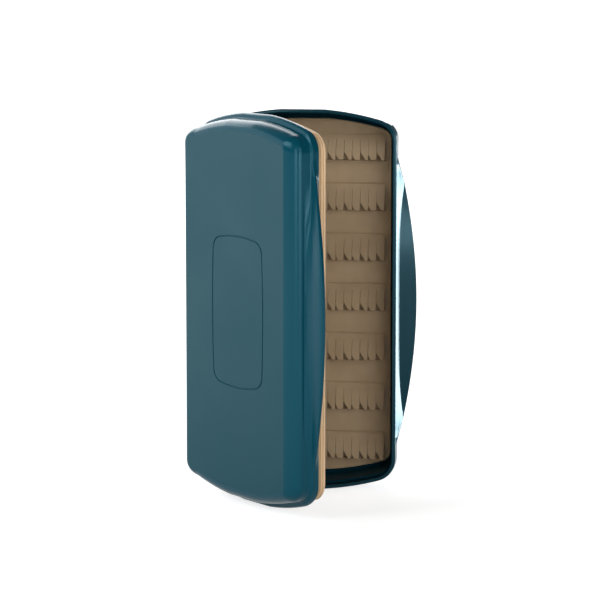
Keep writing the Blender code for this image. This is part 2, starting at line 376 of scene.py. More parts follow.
def prism(points: Sequence[Flat], low: float, high: float) -> Mesh:
    """A straight prism on (x, y) points, from height low to high."""
    return loft([[(x, y, low) for x, y in points], [(x, y, high) for x, y in points]])


def block(low: Point, high: Point) -> Mesh:
    """A rectangular block between two opposite corners."""
    (x0, y0, z0), (x1, y1, z1) = low, high
    return prism([(x0, y0), (x1, y0), (x1, y1), (x0, y1)], z0, z1)


def merge(meshes: Iterable[Mesh]) -> Mesh:
    """Several bodies in one mesh, for one cut or one addition.

    Args:
        meshes: The bodies, which are used up.

    Returns:
        The mesh that holds them all.
    """
    whole = bmesh.new()
    for mesh in meshes:
        part = bpy.data.meshes.new("part")
        mesh.to_mesh(part)
        mesh.free()
        whole.from_mesh(part)
        bpy.data.meshes.remove(part)
    return whole


def stand(name: str, mesh: Mesh) -> Object:
    """Makes an object of a mesh, at the origin.

    Args:
        name: The object's name.
        mesh: The mesh, which is used up.

    Returns:
        The new object.
    """
    data = bpy.data.meshes.new(name)
    mesh.to_mesh(data)
    mesh.free()
    made = bpy.data.objects.new(name, data)
    bpy.context.scene.collection.objects.link(made)
    return made


def combine(target: Object, join: Join, mesh: Mesh) -> None:
    """Adds a body to a target, or cuts one out of it.

    Args:
        target: The object to change.
        join: Whether to add or to cut.
        mesh: The other body, in the target's own frame.
    """
    helper = stand("helper", mesh)
    modifier = target.modifiers.new("join", "BOOLEAN")
    modifier.operation = join.value
    modifier.object = helper
    bake(target)
    bpy.data.objects.remove(helper)


def soften(mesh: Mesh, edges: Iterable[bmesh.types.BMEdge], size: float, steps: int) -> None:
    """Rounds some of a mesh's edges."""
    bmesh.ops.bevel(mesh, geom=list(edges), offset=size, segments=steps, affect="EDGES", profile=0.5)


def carry(piece: Object, name: str, values: Sequence[float]) -> None:
    """Has a piece's mesh carry a value at each of its points, for its finish to read."""
    piece.data.attributes.new(name, "FLOAT", "POINT").data.foreach_set("value", values)


def bake(target: Object) -> None:
    """Turns an object with modifiers into a plain mesh.

    Args:
        target: The object to change.
    """
    graph = bpy.context.evaluated_depsgraph_get()
    data = bpy.data.meshes.new_from_object(target.evaluated_get(graph))
    target.modifiers.clear()
    old = target.data
    target.data = data
    bpy.data.meshes.remove(old)


def settle(piece: Object, half: Half, node: str, material: Material) -> None:
    """Puts a finished piece in its place in the frame, in place of its solid.

    Args:
        piece: The piece, modelled in its half's own frame.
        half: The half that it belongs to.
        node: The solid that it stands for.
        material: Its finish here.
    """
    piece.data.transform(half.matrix())
    piece.data.materials.clear()
    piece.data.materials.append(material)
    piece.data.shade_smooth()
    piece.data.set_sharp_from_angle(angle=SMOOTH_ANGLE)
    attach(piece, half.body)
    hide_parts(node)
    LOG.info("%s: %d faces, on %s", piece.name, len(piece.data.polygons), half.body)


class Nodes:
    """A node tree, with short ways to add and join its nodes."""

    def __init__(self, tree: bpy.types.NodeTree) -> None:
        """Takes up a tree."""
        self.tree = tree

    def plug(self, socket: Socket, value: object) -> None:
        """Feeds an input with another node's output, or sets it to a plain value.

        Args:
            socket: The input.
            value: The output or the plain value.
        """
        if isinstance(value, Socket):
            self.tree.links.new(value, socket)
        else:
            socket.default_value = value

    def add(self, kind: str, inputs: dict, **settings: object) -> bpy.types.Node:
        """Adds a node.

        Args:
            kind: The node's type name.
            inputs: Values for its inputs, or the outputs that feed them.
            settings: The node's own properties.

        Returns:
            The new node.
        """
        node = self.tree.nodes.new(kind)
        for name, value in settings.items():
            setattr(node, name, value)
        for key, value in inputs.items():
            self.plug(node.inputs[key], value)
        return node

    def math(self, operation: str, *values: object) -> Socket:
        """The result of one sum."""
        return self.add("ShaderNodeMath", dict(enumerate(values)), operation=operation).outputs[0]


class Graph(Nodes):
    """A material's node tree."""

    def __init__(self, name: str) -> None:
        """Starts a material.

        Args:
            name: The material's name.
        """
        self.material = bpy.data.materials.new(name)
        self.material.use_nodes = True
        super().__init__(self.material.node_tree)
        self.shader = self.tree.nodes["Principled BSDF"]
        self.where = self.add("ShaderNodeTexCoord", {}).outputs["Object"]

    def carried(self, name: str) -> Socket:
        """A value that the mesh carries at its points, or 0 where it carries none."""
        return self.add("ShaderNodeAttribute", {}, attribute_name=name).outputs["Fac"]

    def noise(self, grain: float, detail: float = 3.0) -> Socket:
        """A noise pattern with grains of about the given size in metres."""
        inputs = {"Vector": self.where, "Scale": 1 / grain, "Detail": detail}
        return self.add("ShaderNodeTexNoise", inputs).outputs["Fac"]

    def ramp(self, value: Socket, reach: Flat, ends: Flat, ease: Ease = Ease.SOFT) -> Socket:
        """A rise from one end value to the other while a value crosses its reach.

        Args:
            value: The value.
            reach: Where the rise starts and stops.
            ends: What it rises from and to.
            ease: How it starts and stops.

        Returns:
            The risen value.
        """
        inputs = {"Value": value, "From Min": reach[0], "From Max": reach[1]}
        inputs.update({"To Min": ends[0], "To Max": ends[1]})
        return self.add("ShaderNodeMapRange", inputs, interpolation_type=ease.value).outputs["Result"]

    def between(self, pattern: Socket, ends: Flat) -> Socket:
        """Spreads a noise pattern's middle range between two values."""
        return self.ramp(pattern, NOISE_MIDDLE, ends, Ease.STRAIGHT)

    def around(self, pattern: Socket, middle: float, swing: float) -> Socket:
        """Lets a noise pattern swing to both sides of a middle value."""
        return self.between(pattern, (middle - swing, middle + swing))

    def mix(self, share: Socket, first: object, second: object) -> Socket:
        """A colour between two others.

        Args:
            share: The second colour's share.
            first: A plain colour, or another node's output.
            second: The same.

        Returns:
            The mixed colour.
        """
        node = self.add("ShaderNodeMix", {}, data_type="RGBA")
        values = [share]
        for colour in (first, second):
            values.append(colour if isinstance(colour, Socket) else (*colour, 1.0))
        for socket, value in zip([s for s in node.inputs if s.enabled], values):
            self.plug(socket, value)
        return next(s for s in node.outputs if s.enabled)

    def bump(self, height: Socket, relief: float) -> Socket:
        """A surface relief of the given height in metres."""
        inputs = {"Height": height, "Distance": relief, "Strength": 1.0}
        return self.add("ShaderNodeBump", inputs).outputs["Normal"]

    def feed(self, **inputs: object) -> None:
        """Sets the shader's inputs; a name's underscores stand for spaces."""
        for key, value in inputs.items():
            self.plug(self.shader.inputs[key.replace("_", " ")], value)


@dataclass(frozen=True)
class ShellPlastic:
    """Moulded teal plastic: glossy walls and panels with a fine satin grain; the inner walls' reflections
    are turned down as painted shade.
    """

    name: str
    gloss_colour: Colour = (0.002, 0.066, 0.100)
    satin_colour: Colour = (0.002, 0.060, 0.083)
    tint: Colour = (0.4, 0.8, 1.0)
    gloss_level: float = 0.3
    gloss_roughness: float = 0.21
    # Reflection level of the inner walls, turned down as painted shade.
    inner_shade_level: float = 0.01
    satin_roughness: float = 0.40
    satin_grain: float = 0.22 * MM
    satin_relief: float = 0.006 * MM
    flow_grain: float = 14 * MM
    flow_share: float = 0.03
    gloss_grain: float = 42 * MM
    gloss_spread: Flat = (0.8, 1.25)
    ior: float = 1.5

    def material(self) -> Material:
        """Builds the finish.

        Returns:
            The new material.
        """
        graph = Graph(self.name)
        satin = graph.carried("satin")
        inner = graph.carried("inner")
        flow = graph.around(graph.noise(self.flow_grain), 0.0, self.flow_share)
        low, high = (self.gloss_roughness * share for share in self.gloss_spread)
        gloss = graph.between(graph.noise(self.gloss_grain), (low, high))
        grain = graph.noise(self.satin_grain, 1.0)
        rougher = self.satin_roughness - self.gloss_roughness
        graph.feed(
            Base_Color=graph.mix(graph.math("ADD", satin, flow), self.gloss_colour, self.satin_colour),
            Roughness=graph.math("MULTIPLY_ADD", satin, rougher, gloss),
            Normal=graph.bump(graph.math("MULTIPLY", grain, satin), self.satin_relief),
            # The inner walls lose their reflections: painted shade inside the box.
            Specular_IOR_Level=graph.ramp(inner, (0.0, 1.0), (self.gloss_level, self.inner_shade_level)),
            Specular_Tint=(*self.tint, 1.0),
            IOR=self.ior,
        )
        return graph.material


@dataclass(frozen=True)
class Silicone:
    """Soft silicone with a dusty bloom and a fine moulded grain, with a paler painted highlight on its
    crests.
    """

    name: str
    colour: Colour
    shade: Colour
    # Colour of the painted highlight on the crests.
    crest_highlight: Colour
    roughness: float
    grain: float = 0.5 * MM
    relief: float = 0.02 * MM
    cloud: float = 9 * MM
    bloom: float = 0.15
    bloom_roughness: float = 0.6
    swing: float = 0.06
    ior: float = 1.41

    def material(self) -> Material:
        """Builds the finish.

        Returns:
            The new material.
        """
        graph = Graph(self.name)
        plain = graph.mix(graph.between(graph.noise(self.cloud), (0.0, 1.0)), self.colour, self.shade)
        graph.feed(
            # Crests, where the mesh carries them, get a painted highlight.
            Base_Color=graph.mix(graph.carried("crest"), plain, self.crest_highlight),
            Roughness=graph.around(graph.noise(self.cloud / 2), self.roughness, self.swing),
            Normal=graph.bump(graph.noise(self.grain), self.relief),
            Sheen_Weight=self.bloom,
            Sheen_Roughness=self.bloom_roughness,
            IOR=self.ior,
        )
        return graph.material


@dataclass(frozen=True)
class DrawnMetal:
    """Metal with fine lines along the hinge axis."""

    name: str
    colour: Colour
    roughness: float
    line: float = 0.15 * MM
    stretch: float = 40.0
    relief: float = 0.004 * MM
    dulling: float = 0.8
    swing: float = 0.08

    def material(self) -> Material:
        """Builds the finish.

        Returns:
            The new material.
        """
        graph = Graph(self.name)
        scale = (1.0, 1.0, 1.0 / self.stretch)
        inputs = {"Vector": graph.where, "Scale": scale}
        graph.where = graph.add("ShaderNodeMapping", inputs).outputs["Vector"]
        pattern = graph.noise(self.line)
        dull = tuple(self.dulling * c for c in self.colour)
        graph.feed(
            Base_Color=graph.mix(graph.between(pattern, (0.0, 1.0)), dull, self.colour),
            Roughness=graph.around(pattern, self.roughness, self.swing),
            Normal=graph.bump(pattern, self.relief),
            Metallic=1.0,
        )
        return graph.material


@dataclass
class Hinge:
    """The two pinned hinges between the halves."""

    margin: float = 26.5 * MM
    knuckle_radius: float = 2.2 * MM
    knuckle_length: float = 8.0 * MM
    knuckle_gap: float = 0.4 * MM
    pin_radius: float = 0.9 * MM
    pin_recess: float = 0.3 * MM
    pin_chamfer: float = 0.25 * MM
    root: float = 0.875 * MM
    steps: int = 40

    @property
    def length(self) -> float:
        """Length of one hinge, over its three knuckles."""
        return 3 * self.knuckle_length + 2 * self.knuckle_gap

    def centres(self) -> dict[str, float]:
        """Heights of the two hinges."""
        return pair(RIM.corner[1] - self.margin)

    def turned(self, profile: Sequence[Flat]) -> Mesh:
        """A turned bar on the hinge axis, from (radius, height) pairs."""
        turns = arc(self.steps, math.tau)[:-1]
        return loft([[(r * x, r * y, z) for x, y in turns] for r, z in profile])

    def knuckle(self, facing: int, low: float, high: float) -> Mesh:
        """A barrel with the leaf that roots it in a rim.

        Args:
            facing: 1 on the tray, -1 on the lid.
            low: Height of its lower end.
            high: Height of its upper end.

        Returns:
            The barrel and leaf as one body.
        """
        leaf_low = RIM.parting + FIT
        radius = self.knuckle_radius
        sweep = 1.5 * math.pi + math.asin(leaf_low / radius)
        turns = arc(self.steps, sweep, math.pi / 2)
        points = [(radius * x, facing * radius * y) for x, y in turns]
        root = RIM.hinge_gap + self.root
        points += [(root, facing * leaf_low), (root, facing * radius)]
        return prism(points, low, high)

    def mould(self, shell: Object, half: Half) -> None:
        """Moulds a shell's knuckles: the tray's outer pairs or the lid's middle ones.

        Args:
            shell: The shell, in its half's own frame.
            half: The half that it makes.
        """
        knuckles, bores = [], []
        for centre in self.centres().values():
            for place in (-1, 1) if half is Half.TRAY else (0,):
                middle = centre + place * (self.knuckle_length + self.knuckle_gap)
                span = (middle - self.knuckle_length / 2, middle + self.knuckle_length / 2)
                knuckles.append(self.knuckle(half.facing, *span))
            reach = self.length / 2 + OVERRUN
            bore = self.pin_radius + FIT
            bores.append(self.turned([(bore, centre - reach), (bore, centre + reach)]))
        combine(shell, Join.ADD, merge(knuckles))
        combine(shell, Join.CUT, merge(bores))

    def pins(self, material: Material) -> None:
        """Makes the two pins, with chamfered ends.

        Args:
            material: Their finish.
        """
        for word, centre in self.centres().items():
            reach = self.length / 2 - self.pin_recess
            thin = self.pin_radius - self.pin_chamfer
            body = reach - self.pin_chamfer
            profile = [(thin, -reach), (self.pin_radius, -body), (self.pin_radius, body), (thin, reach)]
            pin = stand(f"pin_{word}", self.turned([(r, centre + z) for r, z in profile]))
            settle(pin, Half.TRAY, f"hinge_pin_{word}", material)


@dataclass
class Magnets:
    """Bar magnets in slots in the rims, behind the thumb tabs."""

    length: float = 18.0 * MM
    spacing: float = 44.0 * MM
    cover: float = 0.8 * MM
    side: float = 1.1 * MM
    edge: float = 0.15 * MM
    edge_steps: int = 3

    def span(self, half: Half, centre: float, spare: float) -> tuple[Point, Point]:
        """Opposite corners of a magnet, or of its slot.

        Args:
            half: The half that holds it.
            centre: Its height.
            spare: Clearance round it.

        Returns:
            Its low and high corners in the half's own frame.
        """
        inner = RIM.hinge_gap + RIM.width - RIM.land
        near = RIM.parting + self.cover + FIT
        depths = sorted(half.facing * d for d in (near - spare, near + self.side + spare))
        reach = self.length / 2 + spare
        return (inner, depths[0], centre - reach), (inner + self.side + spare, depths[1], centre + reach)

    def slot(self, shell: Object, half: Half) -> None:
        """Cuts a shell's two slots.

        Args:
            shell: The shell, in its half's own frame.
            half: The half that it makes.
        """
        cuts = []
        for centre in pair(self.spacing / 2).values():
            low, high = self.span(half, centre, FIT)
            cuts.append(block((low[0] - OVERRUN, low[1], low[2]), high))
        combine(shell, Join.CUT, merge(cuts))

    def bars(self, half: Half, word: str, material: Material) -> None:
        """Makes one half's two magnets.

        Args:
            half: The half that holds them.
            word: The word that their names start with.
            material: Their finish.
        """
        for place, centre in pair(self.spacing / 2).items():
            mesh = block(*self.span(half, centre, 0.0))
            soften(mesh, mesh.edges, self.edge, self.edge_steps)
            bar = stand(f"{word}_bar_{place}", mesh)
            settle(bar, half, f"{word}_magnet_{place}", material)


@dataclass
class Label:
    """The bare label outline pressed into the lid's panel."""

    outline: Outline = Outline(
        width=39.0 * MM,
        height=70.2 * MM,
        end_radius=80.0 * MM,
        corner_radius=6.5 * MM,
        crest=4.0 * MM,
    )
    bow: float = 0.7 * MM
    width: float = 0.8 * MM
    depth: float = 0.5 * MM
    steps: int = 8
    stations: int = 24

    def ring(self, inset: float, face: float) -> list[Point]:
        """One ring of the groove, with its long sides bowed.

        Args:
            inset: Its inset from the label's outline.
            face: Its y in the lid's own frame.

        Returns:
            Points in order round the ring.
        """
        corner = self.outline.corner[1]
        rising = heights(corner, self.stations)[1:-1]
        bowed = []
        for u, v in self.outline.points((inset, inset, inset), rising, rising[::-1]):
            swell = max(0.0, 1.0 - (v / corner) ** 2) * self.bow
            bowed.append((RIM.middle + u + math.copysign(swell, u), face, v))
        return bowed

    def press(self, shell: Object, face: float) -> None:
        """Cuts the groove, with a round floor, into the panel.

        Args:
            shell: The lid's shell, in its half's own frame.
            face: The panel's y there.
        """
        rings = [self.ring(0.0, face - OVERRUN)]
        for x, y in arc(self.steps, math.pi):
            rings.append(self.ring(self.width / 2 * (1 - x), face + self.depth * y))
        rings.append(self.ring(self.width, face - OVERRUN))
        combine(shell, Join.CUT, loft(rings, close=True))


@dataclass
class Shell:
    """One moulded shell, from its outer panel over the shoulder, rim and seat to its floor.

    The edge shares place the rings of the tab lip's two edges on the plain band.
    """

    half: Half
    depth: float
    band: float
    seat: float
    tab: Tab
    band_step: float = 0.9 * MM
    end_step: float = 0.9 * MM
    step_fillet: float = 0.7 * MM
    wall_draft: float = 0.3 * MM
    wall: float = 1.8 * MM
    inner_draft: float = 1.2 * MM
    floor_fillet: float = 0.4 * MM
    end_belly: float = 0.6 * MM
    panel_side: float = 3.0 * MM
    panel_end: float = 7.7 * MM
    panel_crown: float = 0.05 * MM
    crease: float = 0.12 * MM
    panel_free: float = 8.7 * MM
    round_side: Round = Round(1.5 * MM, 3.0 * MM)
    round_end: Round = Round(4.8 * MM, 6.4 * MM)
    round_free: Round = Round(7.3 * MM, 5.2 * MM, math.radians(30))
    round_steps: int = 28
    edge_shares: Flat = (0.85, 0.7)
    steps: int = 4

    @property
    def ledge(self) -> float:
        """Inset of the inner wall where it leaves the seal's ledge."""
        return self.band_step + self.wall

    @property
    def round_top(self) -> float:
        """Depth where the rounds leave the panel's border."""
        return self.depth - self.panel_crown

    @property
    def round_foot(self) -> float:
        """Depth where the deepest round ends."""
        return self.round_top - self.round_end.drop

    @property
    def lip_under(self) -> float:
        """Depth of the tab's lip on its outer side."""
        return RIM.edge_round + self.tab.floor + self.tab.edge

    def rounded(self, depth: float, wall: float, size: Round) -> float:
        """Inset at a depth on a round that ends in a wall with an inset of its own."""
        rise = max(0.0, 1 - (self.round_top - depth) / size.drop) * math.cos(size.start)
        return wall + size.width * (1 - math.sqrt(1 - rise * rise)) / (1 - math.sin(size.start))

    def flared(self, depth: float) -> float:
        """Share of the tab's reach that the outer side has flared to at a depth."""
        grown = (self.lip_under + self.tab.flare - depth) / (self.tab.flare - self.tab.lip)
        return self.tab.flare_share * min(1.0, max(0.0, grown)) ** 2

    def shoulder(self) -> list[Ring]:
        """Rings from the panel, over its crease and the rounds, to the wall.

        Returns:
            The rings in order.
        """
        side = self.band_step + self.wall_draft
        end = self.end_step + self.wall_draft
        rings = []
        for spare, drop in ((3 * self.crease, 0.0), (self.crease, 0.0), (-self.crease, self.crease / 4)):
            insets = [inset + spare for inset in (self.panel_side, self.panel_end, self.panel_free)]
            rings.append(Ring(*insets, self.depth - drop, tab_depth=self.depth - drop))
        for share, _ in arc(self.round_steps):
            depth = self.round_top - (self.round_top - self.round_foot) * (1 - share)
            insets = [
                self.rounded(depth, side, self.round_side),
                self.rounded(depth, end, self.round_end),
                self.rounded(depth, side, self.round_free),
            ]
            rings.append(Ring(*insets, depth, self.flared(depth), tab_depth=depth, ease=self.tab.ease))
        return rings

    def flank(self) -> list[Ring]:
        """Rings down the wall, over the band and the tab's flare, lip and scoop, to the rim's edge.

        Returns:
            The rings in order.
        """
        tab = self.tab
        under = self.lip_under
        step = self.band + self.step_fillet
        start = min(self.round_foot, under + tab.flare)
        stop = under + tab.lip
        rings = []
        walls = ((self.wall_draft / 2, (step + self.round_foot) / 2, 1 / 3), (0.0, step, 2 / 3))
        for draft, depth, share in walls:
            side, end = self.band_step + draft, self.end_step + draft
            on_tab = start + (stop - start) * share
            rings.append(Ring(side, end, side, depth, self.flared(on_tab), on_tab, ease=tab.ease))
        rings.append(Ring(0.0, self.end_belly, 0.0, self.band, tab.flare_share, stop, ease=tab.ease / 2))
        height = self.band - RIM.edge_round
        under_lip, over_lip = self.edge_shares
        path = [(under_lip, 1.0, tab.scoop + tab.edge, 1.0), (over_lip, 1.0, tab.scoop, 1.0)]
        for i, (reach, fall, bevel) in enumerate(tab.profile, 1):
            path.append((over_lip * (1 - i / len(tab.profile)), reach, tab.scoop * fall, bevel))
        for share, reach, fall, bevel in path:
            end = self.end_belly * (2 * share - 1) ** 2
            depth = RIM.edge_round + height * share
            rings.append(Ring(0.0, end, 0.0, depth, reach, RIM.edge_round + fall, bevel=bevel))
        return rings

    def inside(self) -> list[Ring]:
        """Rings over the rim's land, down the seal's seat and its ledge, to the floor.

        Returns:
            The rings in order.
        """
        floor = self.depth - self.wall
        foot = self.ledge + self.inner_draft
        fillet = self.floor_fillet
        small = RIM.edge_round / 2
        land = [(small, small / 2), (RIM.edge_round, 0.0)]
        seat = [
            (RIM.land - small, 0.0),
            (RIM.land, small),
            (RIM.land, self.seat - small),
            (RIM.land, self.seat),
        ]
        wall = [
            (self.ledge - small, self.seat),
            (self.ledge, self.seat + small),
            (foot, floor - 2 * fillet),
            (foot + fillet / 2, floor - fillet / 2),
            (foot + fillet, floor),
        ]
        paths = ((land, self.end_belly), (seat, 0.0), (wall, self.end_step - self.band_step))
        return [plain_ring(inset, depth, extra) for path, extra in paths for inset, depth in path]

    def build(self, name: str, hinge: Hinge, magnets: Magnets) -> Object:
        """Makes the shell with its knuckles and slots, in its half's own frame.

        Args:
            name: Name of the piece.
            hinge: The hinges to mould on it.
            magnets: The magnets to cut slots for.

        Returns:
            The shell.
        """
        shoulder = self.shoulder()
        rings = shoulder[:-1] + smooth_rings(shoulder[-1:] + self.flank(), self.steps) + self.inside()
        shell = stand(name, loft([RIM.lay(ring, self.half.facing, self.tab) for ring in rings]))
        hinge.mould(shell, self.half)
        magnets.slot(shell, self.half)
        return shell

    def mark(self, shell: Object) -> None:
        """Marks the outer panel, whose finish differs, and the inner walls, whose reflections are turned
        down as painted shade.

        Args:
            shell: The shell, in its half's own frame.
        """
        panel = RIM.parting + self.depth - self.crease / 4
        inside = RIM.parting + self.depth - self.wall / 2
        satin, inner = [], []
        for point in shell.data.vertices:
            depth = self.half.facing * point.co.y
            inward = (point.co.x - RIM.middle) * point.normal.x + point.co.z * point.normal.z < 0
            walled = RIM.parting + RIM.edge_round / 4 < depth < inside and point.co.x > RIM.hinge_gap
            satin.append(float(depth > panel))
            # Inner walls are marked for their reflections to be turned down: painted shade.
            inner.append(float(walled and inward))
        carry(shell, "satin", satin)
        carry(shell, "inner", inner)


@dataclass
class PlugSeal:
    """The ribbed seal: its root stands on the lid's ledge and its ribs enter the tray's rim."""

    height: float = 5.4 * MM
    wall: float = 1.8 * MM
    seat: float = 2.6 * MM
    rib: float = 0.55 * MM
    pitch: float = 1.4 * MM
    ribs: int = 2
    plug_fit: float = 0.45 * MM
    tip_round: float = 0.4 * MM
    steps: int = 8

    @property
    def crest(self) -> float:
        """Inset of the ribs' crests."""
        return RIM.land + self.plug_fit

    @property
    def waist(self) -> float:
        """Inset of the dips between the ribs."""
        return self.crest + self.rib

    def section(self) -> list[Flat]:
        """Section of the seal, from its root over the ribs and tip and back.

        Returns:
            Points in order, as (inset, depth).
        """
        root = self.seat - FIT
        path = [(RIM.land + FIT, root), (RIM.land + FIT, RIM.edge_round)]
        for i in range(self.ribs):
            centre = self.pitch * (self.ribs - i - 0.5) - self.height
            # A later rib starts at the point where the one before it ends.
            for x, y in arc(self.steps, math.pi, -math.pi / 2)[min(i, 1):]:
                path.append((self.waist - self.rib * x, centre - self.pitch / 2 * y))
        inner = self.crest + self.wall
        for x, y in arc(self.steps):
            path.append((inner - self.tip_round * (1 - y), -self.height + self.tip_round * (1 - x)))
        path.append((inner, root))
        return path

    def build(self, material: Material) -> None:
        """Makes the seal.

        Args:
            material: Its finish.
        """
        section = self.section()
        rings = [RIM.lay(plain_ring(inset, depth), Half.LID.facing) for inset, depth in section]
        seal = stand("seal", loft(rings, close=True))
        # Each ring's share of the painted highlight on the ribs' crests.
        crest_highlights = []
        for inset, depth in section:
            ribbed = depth < self.pitch * self.ribs - self.height
            crest_highlights += [max(0.0, (self.waist - inset) / self.rib) ** 2 * ribbed] * len(rings[0])
        carry(seal, "crest", crest_highlights)
        settle(seal, Half.LID, "rim_seal", material)


class FingerRows(Nodes):
    """The node tree that sets rows of fingers on a mat's sheet, and the identifiers of its inputs."""

    KINDS = {
        "Geometry": "NodeSocketGeometry",
        "Deep Finger": "NodeSocketObject",
        "Shallow Finger": "NodeSocketObject",
        "Row Root": "NodeSocketObject",
        "Rows": "NodeSocketInt",
        "Row Pitch": "NodeSocketFloat",
        "Fingers": "NodeSocketInt",
        "Finger Pitch": "NodeSocketFloat",
        "First Row": "NodeSocketVector",
        "Bend": "NodeSocketFloat",
        "Seed": "NodeSocketInt",
        "Material": "NodeSocketMaterial",
    }

    def __init__(self) -> None:
        """Builds the whole tree."""
        super().__init__(bpy.data.node_groups.new("finger_rows", "GeometryNodeTree"))
        self.inputs = {}
        sockets = self.tree.interface
        for name, kind in self.KINDS.items():
            self.inputs[name] = sockets.new_socket(name, in_out="INPUT", socket_type=kind).identifier
        sockets.new_socket("Geometry", in_out="OUTPUT", socket_type=self.KINDS["Geometry"])
        self.given = self.add("NodeGroupInput", {}).outputs
        self.index = self.add("GeometryNodeInputIndex", {}).outputs[0]

        joined = self.add("GeometryNodeJoinGeometry", {})
        for geometry in (self.given["Geometry"], self.roots(), *self.fingers()):
            self.tree.links.new(geometry, joined.inputs[0])
        real = self.add("GeometryNodeRealizeInstances", {"Geometry": joined.outputs[0]}).outputs[0]
        inputs = {"Geometry": real, "Material": self.given["Material"]}
        dressed = self.add("GeometryNodeSetMaterial", inputs).outputs[0]
        self.add("NodeGroupOutput", {"Geometry": dressed})

    def points(self, count: object, across: object, row: object) -> Socket:
        """Points on the sheet.

        Args:
            count: How many.
            across: Distance of each from the left-hand end of the rows.
            row: The row that each is on.

        Returns:
            The points.
        """
        down = self.math("MULTIPLY", row, self.math("MULTIPLY", self.given["Row Pitch"], -1.0))
        step = self.add("ShaderNodeCombineXYZ", {"X": across, "Z": down}).outputs[0]
        inputs = {0: self.given["First Row"], 1: step}
        spot = self.add("ShaderNodeVectorMath", inputs, operation="ADD").outputs[0]
        return self.add("GeometryNodePoints", {"Count": count, "Position": spot}).outputs[0]

    def copies(self, name: str, inputs: dict) -> Socket:
        """Copies of the helper object that an input names, on points."""
        shape = self.add("GeometryNodeObjectInfo", {"Object": self.given[name]}).outputs["Geometry"]
        return self.add("GeometryNodeInstanceOnPoints", {"Instance": shape, **inputs}).outputs[0]

    def roots(self) -> Socket:
        """The uncut strips that the rows' fingers hang from."""
        return self.copies("Row Root", {"Points": self.points(self.given["Rows"], 0.0, self.index)})

    def fingers(self) -> list[Socket]:
        """The rows' deep and shallow fingers, by turns, each with a small bend of its own.

        Returns:
            The deep fingers and the shallow ones.
        """
        row = self.math("FLOOR", self.math("DIVIDE", self.index, self.given["Fingers"]))
        place = self.math("SUBTRACT", self.index, self.math("MULTIPLY", row, self.given["Fingers"]))
        across = self.math("MULTIPLY", place, self.given["Finger Pitch"])
        count = self.math("MULTIPLY", self.given["Rows"], self.given["Fingers"])
        points = self.points(count, across, row)

        droop = self.math("MULTIPLY", self.given["Bend"], -1.0)
        limits = {"Min": droop, "Max": self.given["Bend"], "Seed": self.given["Seed"]}
        random = self.add("FunctionNodeRandomValue", limits).outputs[1]
        bend = self.add("ShaderNodeCombineXYZ", {"X": random}).outputs[0]
        turn = self.add("FunctionNodeEulerToRotation", {"Euler": bend}).outputs[0]

        odd = self.math("MODULO", place, 2.0)
        made = []
        for name, chosen in (("Deep Finger", 0.0), ("Shallow Finger", 1.0)):
            pick = self.math("COMPARE", odd, chosen)
            made.append(self.copies(name, {"Points": points, "Selection": pick, "Rotation": turn}))
        return made


